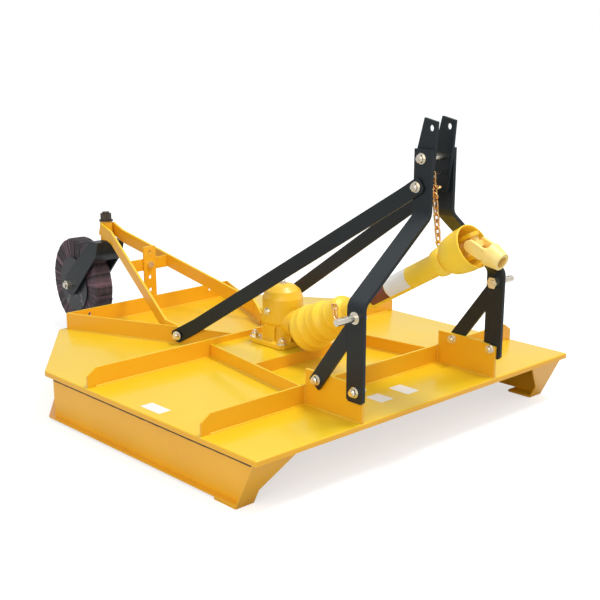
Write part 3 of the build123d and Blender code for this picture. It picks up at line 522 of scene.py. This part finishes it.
def lathed(name, replaced, profile, steps=96):
    """A hollow moulding from its closed outline, in millimetres of radius and distance along the shaft."""
    work = bmesh.new()
    turns = [2 * math.pi * i / steps for i in range(steps)]
    rings = [[work.verts.new(Vector((radius * math.cos(a), radius * math.sin(a), along)) / 1000)
              for a in turns] for radius, along in profile]
    for first, second in zip(rings, rings[1:] + rings[:1]):
        for i in range(steps):
            work.faces.new((first[i], first[i - 1], second[i - 1], second[i]))
    mesh = smoothed(bevelled(on_shaft(work, name), 0.0012, 25), 50)
    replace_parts(made(name, mesh, deck_body, guard_plastic), replaced)


lathed("rear_guard_moulding", "rear_driveline_guard", [
    (80, -20), (81.5, -17), (81.5, -8), (80, -4), (79.4, 18), (81, 20), (81, 25), (76, 34), (71.5, 44),
    (70.4, 58), (72, 60), (72, 65), (70, 67), (68.8, 90), (70.2, 92), (70.2, 97), (64, 108), (57, 118),
    (55.4, 138), (57, 140), (57, 145), (55, 147), (54, 178), (56, 181), (56, 189), (53, 193), (51, 200),
    (34, 207), (32, 212), (32, 390), (29, 390), (29, 203), (20.3, 203), (20.3, 195), (48, 195), (50, 114),
    (65, 60), (77, -20)])
lathed("front_guard_moulding", "front_driveline_guard", [
    (35.3, 330), (36.8, 332), (36.8, 340), (35.3, 342), (35.3, 697), (44, 698), (52, 701), (58, 712),
    (62, 728), (65, 745), (67, 764), (67, 790), (68.5, 794), (68.5, 800), (64, 800), (64, 764), (59, 730),
    (48, 705), (20.3, 705), (20.3, 697), (32.3, 697), (32.3, 330)])
coat(guard_plastic, "guard_collar")

# Bands on the driveline: a bare white foil, cut square, wrapped round the guard's right side and stuck
# down, and beside it a maroon band of painted shadow, where the hitch leg's shadow falls on the guard.
band_radius, band_outside = 35.35, 35.7
band_low, band_high, band_steps = -150, 55, 40


def band(name, start, end, material):
    """A curved band on the guard, from where it starts and ends along the shaft: the white foil, and the
    maroon band of painted shadow.
    """
    work = bmesh.new()
    turns = [math.radians(band_low + (band_high - band_low) * i / band_steps) for i in range(band_steps + 1)]
    corners = ((band_radius, start), (band_radius, end), (band_outside, end), (band_outside, start))
    rows = [[work.verts.new(Vector((r * math.sin(a), -r * math.cos(a), along)) / 1000) for a in turns]
            for r, along in corners]
    for first, second in zip(rows, rows[1:] + rows[:1]):
        for i in range(band_steps):
            work.faces.new((first[i], first[i + 1], second[i + 1], second[i]))
    for i in (0, -1):
        work.faces.new([row[i] for row in rows])
    return made(name, smoothed(on_shaft(work, name)), deck_body, material)


# Painted shadow: the hitch leg's shadow on the guard, laid on as a dark maroon band.
leg_shadow_finish = Finish("maroon_foil", Roughness=0.4, Coat_Weight=0.3)
maroon_foil = leg_shadow_finish.cover(
    Base_Color=leg_shadow_finish.blend(leg_shadow_finish.noise(20.0, 4), (0.11, 0.022, 0.02), (0.2, 0.04, 0.035)),
    Roughness=0.32 + leg_shadow_finish.noise(60.0, 3) * 0.2)
band("driveline_leg_shadow_band", 345, 428, maroon_foil)
band("driveline_white_band", 430, 528, foil.material)

# Coupling yoke: a steel forging with a tapered barrel on a cross, painted a paler, creamier yellow than
# the guards and rubbed thin where hands hold it. The shaft behind it wears the gearbox's paint.
forging = Finish("forged_yellow", IOR=1.5, Coat_Weight=0.2, Coat_Roughness=0.2)
handled = forging.noise(24.0, 5, 0.6)
pitted = forging.noise(500.0, 3)
forged_yellow = forging.cover(Base_Color=forging.blend(handled, (0.9, 0.57, 0.075), (0.97, 0.77, 0.3)),
                              Roughness=0.32 + handled * 0.2, Normal=forging.bump(pitted, 0.0008, 0.6))
coat(forged_yellow, "coupling_yoke", "front_cross")
coat(cast_yellow, "drive_shaft")

# Bare steel: the input shaft, rear cross and rotor's hub are turned and left dull. The blades, their
# bolts and the pan are forged or cut plate, blackened, and rusty where grass has scoured them.
steel = Finish("dull_steel", Metallic=1.0)
rub = steel.noise(120.0, 5)
dull_steel = steel.cover(Base_Color=steel.blend(rub, (0.34, 0.33, 0.32), (0.6, 0.59, 0.57)),
                         Roughness=0.32 + rub * 0.25)
coat(dull_steel, "gearbox_input_shaft", "rear_cross", "rotor_hub")
scale = Finish("blade_steel", Metallic=0.85)
rust = scale.spread(scale.noise(26.0, 8, 0.7), 0.45, 0.75)
blade_steel = scale.cover(Base_Color=scale.blend(rust, (0.16, 0.15, 0.145), (0.22, 0.11, 0.06)),
                          Roughness=0.45 + rust * 0.35, Normal=scale.bump(scale.noise(300.0, 4), 0.0006, 0.7))
coat(blade_steel, "rotor_pan", "blade_bolt_1", "blade_bolt_2", "blade_1", "blade_2")

# Chain: ten oval links of bent and butt-welded wire, yellow passivated, hanging from the mast to the
# guard's collar, with a knot near its top where the loose end is looped through it. A short length of
# the same chain hangs from the rear guard.
chain = Bench(bpy.data.node_groups.new("chain_links", "GeometryNodeTree"), Geometry="Geometry",
              Length="Float", Width="Float", Stock="Float", Finish="Material")
link = chain.inlets
oval = chain.add("GeometryNodeCurvePrimitiveQuadrilateral", {}, {
    "Width": link["Length"], "Height": link["Width"]})
oval = chain.add("GeometryNodeFilletCurve", {"mode": "POLY"}, {
    "Curve": oval, "Count": 7, "Radius": link["Width"] * 0.499, "Limit Radius": True})
stock = chain.add("GeometryNodeCurvePrimitiveCircle", {}, {"Resolution": 10, "Radius": link["Stock"]})
oval = chain.add("GeometryNodeCurveToMesh", {}, {"Curve": oval, "Profile Curve": stock})
aim = chain.add("GeometryNodeInputNamedAttribute", {"data_type": "FLOAT_VECTOR"}, {"Name": "facing"})
roll = chain.add("GeometryNodeInputNamedAttribute", {"data_type": "FLOAT"}, {"Name": "roll"})
lined_up = chain.add("FunctionNodeAlignRotationToVector", {"axis": "X"}, {"Vector": aim})
strung = chain.add("GeometryNodeInstanceOnPoints", {}, {
    "Points": link["Geometry"], "Instance": oval, "Rotation": lined_up})
strung = chain.add("GeometryNodeRotateInstances", {}, {
    "Instances": strung, "Rotation": chain.join(roll, 0.0, 0.0)})
chain.close(chain.add("GeometryNodeSetShadeSmooth", {}, {0: strung}))
gold = Finish("gold_zinc", Metallic=1.0)
tint = gold.noise(60.0, 4)
gold_chain = gold.cover(Base_Color=gold.blend(tint, (0.72, 0.34, 0.09), (0.96, 0.7, 0.36)),
                        Roughness=0.22 + tint * 0.15)


def links(name, places, length, width, wire):
    """Chain links, each at a place, along a way and rolled by an angle in degrees."""
    points = marked(name, [place for place, way, angle in places], [way for place, way, angle in places])
    rolls = points.attributes.new("roll", "FLOAT", "POINT")
    rolls.data.foreach_set("value", [math.radians(angle) for place, way, angle in places])
    return grown(name, points, chain, deck_body, "zinc_plate", gold_chain, Length=length / 1000,
                 Width=width / 1000, Stock=wire / 1000)


chain_top = at(737, 0, 891)
along = Vector((math.cos(shaft_slope), 0, math.sin(shaft_slope)))
above = Vector((-math.sin(shaft_slope), 0, math.cos(shaft_slope)))
chain_foot = shaft_start + 0.677 * along + 0.056 * above
hang = chain_foot - chain_top
way = hang.normalized()
link_wire, link_width, link_gap, link_count = 3.2, 15.6, 0.3, 10
pin_radius, tab_slack = 4, 6
pin_reach = pin_radius + link_wire + link_gap
foot_reach = tab_slack - link_wire - 2 * link_gap
link_step = (hang.length * 1000 - foot_reach + pin_reach - 2 * link_wire - link_gap) / link_count
link_length = link_step + 2 * link_wire + link_gap
chain_places = []
for i in range(link_count):
    middle = chain_top + way * (link_length / 2 - pin_reach + i * link_step) / 1000
    chain_places.append((middle, way, 90 + 90 * (i % 2)))
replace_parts(links("chain_links", chain_places, link_length, link_width, link_wire), "chain")

short_run = [shaft_place @ Vector(place) for place in (
    (-0.028, -0.047, 0.2), (-0.012, -0.062, 0.212), (0.014, -0.066, 0.205), (0.034, -0.06, 0.212),
    (0.046, -0.05, 0.23))]
short_places = [((first + second) / 2, (second - first).normalized(), 90 * (i % 2))
                for i, (first, second) in enumerate(zip(short_run, short_run[1:]))]
links("rear_guard_chain", short_places, 33, 16, link_wire)

knot = chain_top + 0.05 * way
knot_turns = [((0.006, 0.002, 0.009), (0.75, 0.3, 0.2), 15), ((0.003, -0.009, -0.004), (0.3, -0.5, 0.77), 70),
              ((0.009, -0.004, -0.015), (0.6, -0.5, 0.4), 110)]
knot_places = [(knot + Vector(shift), Vector(heading).normalized(), angle)
               for shift, heading, angle in knot_turns]
links("chain_knot", knot_places, 27, 16, 3.4)

# Tail wheel arm: two flat bars on edge, a height strap with its row of holes, a cross bar and the
# swivel tube, all saw-cut, welded and sprayed with the deck.
arm_bars = ["right_tail_arm", "left_tail_arm", "height_strap", "arm_cross_bar"]
coat(yellow_enamel, "swivel_tube", *arm_bars)
dressed(yellow_enamel, "yellow_paint", deck_body, plate_edge, *arm_bars)

# Tail tyre: plies cut from old tyre casings, threaded on a ring and pressed together between two
# steel plates, so the tread shows their edges and no two have quite the same height or tone. The
# plates are painted black and worn grey.
tyre = Bench(bpy.data.node_groups.new("tyre_plies", "GeometryNodeTree"), Geometry="Geometry", Plies="Int",
             Finish="Material")
ply = tyre.inlets
ply_count, bore_radius, tread_radius, half_tread, ring_radius = 128, 63, 202.8, 42.8, 50
ring = tyre.add("GeometryNodeMeshCircle", {}, {"Vertices": ply["Plies"], "Radius": ring_radius / 1000})
place = tyre.add("GeometryNodeInputPosition")
outwards = tyre.add("FunctionNodeAlignRotationToVector", {"axis": "X"}, {"Vector": place})
ply_size = tyre.join(tyre.chance(0.983, 0.9995, 3), 1.0, tyre.chance(0.96, 0.9995, 5))
ring = tyre.add("GeometryNodeInstanceOnPoints", {}, {
    "Points": ring, "Instance": ply["Geometry"], "Rotation": outwards, "Scale": ply_size})
lean = tyre.join(tyre.chance(-0.012, 0.012, 7), 0.0, tyre.chance(-0.004, 0.004, 8))
ring = tyre.add("GeometryNodeRotateInstances", {}, {
    "Instances": ring, "Rotation": lean, "Pivot Point": (0.15, 0.0, 0.0)})
tyre.close(tyre.add("GeometryNodeStoreNamedAttribute", {"data_type": "FLOAT", "domain": "INSTANCE"},
                    {"Geometry": ring, "Name": "ply_tone", "Value": tyre.chance(0.0, 1.0, 11)}))

rubber = Finish("tyre_rubber", IOR=1.5)
ply_tone = rubber.add("ShaderNodeAttribute", {"attribute_name": "ply_tone"}, out="Fac")
scuff = rubber.noise(45.0, 6, 0.65)
# The plies' tone differs at random, and its pale pink end is also a painted highlight on the ply edges.
ply_tone_and_sheen = ply_tone ** 3.0 * 0.7 + rubber.spread(scuff, 0.45, 0.75) * 0.3
tyre_rubber = rubber.cover(Base_Color=rubber.blend(ply_tone_and_sheen, (0.01, 0.009, 0.012), (0.24, 0.13, 0.16)),
                           Roughness=0.42 + scuff * 0.3,
                           Normal=rubber.bump(rubber.noise(260.0, 4), 0.0008, 0.6))

outline = [(bore_radius, half_tread - 3), (tread_radius - 16, half_tread),
           (tread_radius - 7, half_tread - 2.5), (tread_radius - 1.5, half_tread - 8),
           (tread_radius, half_tread - 15)]
outline += [(radius, -z) for radius, z in reversed(outline)]
wedge = math.tan(math.pi / ply_count)
fill = 0.985
work = bmesh.new()
sides = [[work.verts.new(Vector((radius - ring_radius, side * radius * wedge * fill, z)) / 1000)
          for radius, z in outline] for side in (-1, 1)]
work.faces.new(sides[0])
work.faces.new(reversed(sides[1]))
for i in range(len(outline)):
    work.faces.new((sides[0][i], sides[0][i - 1], sides[1][i - 1], sides[1][i]))
bmesh.ops.recalc_face_normals(work, faces=work.faces)
ply_mesh = closed(work, "ply")
swivel_x, trail, axle_z = -1055, 239, 203
swing = math.radians(-4.5)
wheel_centre = at(swivel_x - trail * math.cos(swing), -trail * math.sin(swing), axle_z)
wheel_place = (Matrix.Translation(wheel_centre) @ Matrix.Rotation(swing, 4, "Z")
               @ Matrix.Rotation(math.radians(90), 4, "X"))
plies = grown("tyre_plies", ply_mesh, tyre, "tail_wheel", "tyre_rubber", tyre_rubber, Plies=ply_count)
plies.data.transform(wheel_place)
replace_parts(plies, "tail_tyre")

plate_finish = Finish("wheel_plate_paint", IOR=1.5)
worn = plate_finish.spread(plate_finish.noise(14.0, 5, 0.6), 0.6, 0.72)
wheel_plate_paint = plate_finish.cover(
    Base_Color=plate_finish.blend(worn, (0.02, 0.022, 0.026), (0.3, 0.29, 0.3)),
    Roughness=0.35 + worn * 0.2, Metallic=worn * 0.6)
coat(wheel_plate_paint, "tail_wheel_hub")
nut_finish = Finish("black_zinc", Metallic=0.9)
black_zinc = nut_finish.cover(
    Base_Color=nut_finish.blend(nut_finish.noise(150.0, 4), (0.02, 0.018, 0.016), (0.16, 0.13, 0.1)),
    Roughness=0.22 + nut_finish.noise(90.0, 3) * 0.15)
coat(black_zinc, "caster_spindle")

# Stage: a pale floor that can be looked up through, a white studio, a large soft lamp above and one at
# the right front, and the camera at the photograph's angle.
work = bmesh.new()
floor_depth = 0.0004
bmesh.ops.create_grid(work, x_segments=1, y_segments=1, size=30,
                      matrix=Matrix.Translation((0, 0, -floor_depth)))
floor_mesh = closed(work, "floor")
floor = bpy.data.objects.new("floor", floor_mesh)
bpy.context.scene.collection.objects.link(floor)
floor_finish = Finish("pale_floor", Roughness=0.9, Specular_IOR_Level=0.0, Emission_Strength=0.62)
seen = floor_finish.add("ShaderNodeLightPath", out="Is Camera Ray")
from_below = floor_finish.add("ShaderNodeNewGeometry", out="Backfacing")
floor_mesh.materials.append(floor_finish.cover(
    Base_Color=floor_finish.blend(floor_finish.noise(2.0), (0.6, 0.6, 0.6), (0.62, 0.62, 0.62)),
    Emission_Color=floor_finish.blend(seen, (0.0, 0.0, 0.0), (1.0, 1.0, 1.0)), Alpha=1 - from_below))

world = bpy.data.worlds.new("studio")
bpy.context.scene.world = world
world.use_nodes = True
studio = Bench(world.node_tree)
white = (1, 1, 1, 1)
backdrop = studio.add("ShaderNodeBackground", {}, {"Color": white, "Strength": 1.0})
skylight = world.node_tree.nodes["Background"]
skylight.inputs["Color"].default_value = white
skylight.inputs["Strength"].default_value = 0.72
seen = studio.add("ShaderNodeLightPath", out="Is Camera Ray")
mixed = studio.add("ShaderNodeMixShader", {}, {0: seen, 1: Wire(studio, skylight.outputs[0]), 2: backdrop})
world.node_tree.links.new(mixed.socket, world.node_tree.nodes["World Output"].inputs["Surface"])


def lamp(name, place, size, power):
    """A square lamp that shines on the middle of the machine."""
    data = bpy.data.lights.new(name, "AREA")
    data.size = size
    data.energy = power
    light = bpy.data.objects.new(name, data)
    light.location = place
    light.rotation_euler = (Vector((0, 0, 0.3)) - Vector(place)).to_track_quat("-Z", "Y").to_euler()
    bpy.context.scene.collection.objects.link(light)


lamp("key_lamp", (1.6, 0.9, 4.8), 1.6, 160)
lamp("fill_lamp", (2.4, -4.4, 2.3), 3.0, 58)

camera_data = bpy.data.cameras.new("camera")
camera_data.lens = 66.29
camera_data.sensor_width = 36
camera_data.shift_y = 0.052
camera = bpy.data.objects.new("camera", camera_data)
camera_distance = 4.027
back = Vector((0.7019, -0.6580, 0.2727)).normalized()
camera.location = at(70, 74.6, 245.3) + camera_distance * back
camera.rotation_euler = back.to_track_quat("Z", "Y").to_euler()
bpy.context.scene.collection.objects.link(camera)
bpy.context.scene.camera = camera
bpy.context.scene.view_settings.view_transform = "Standard"
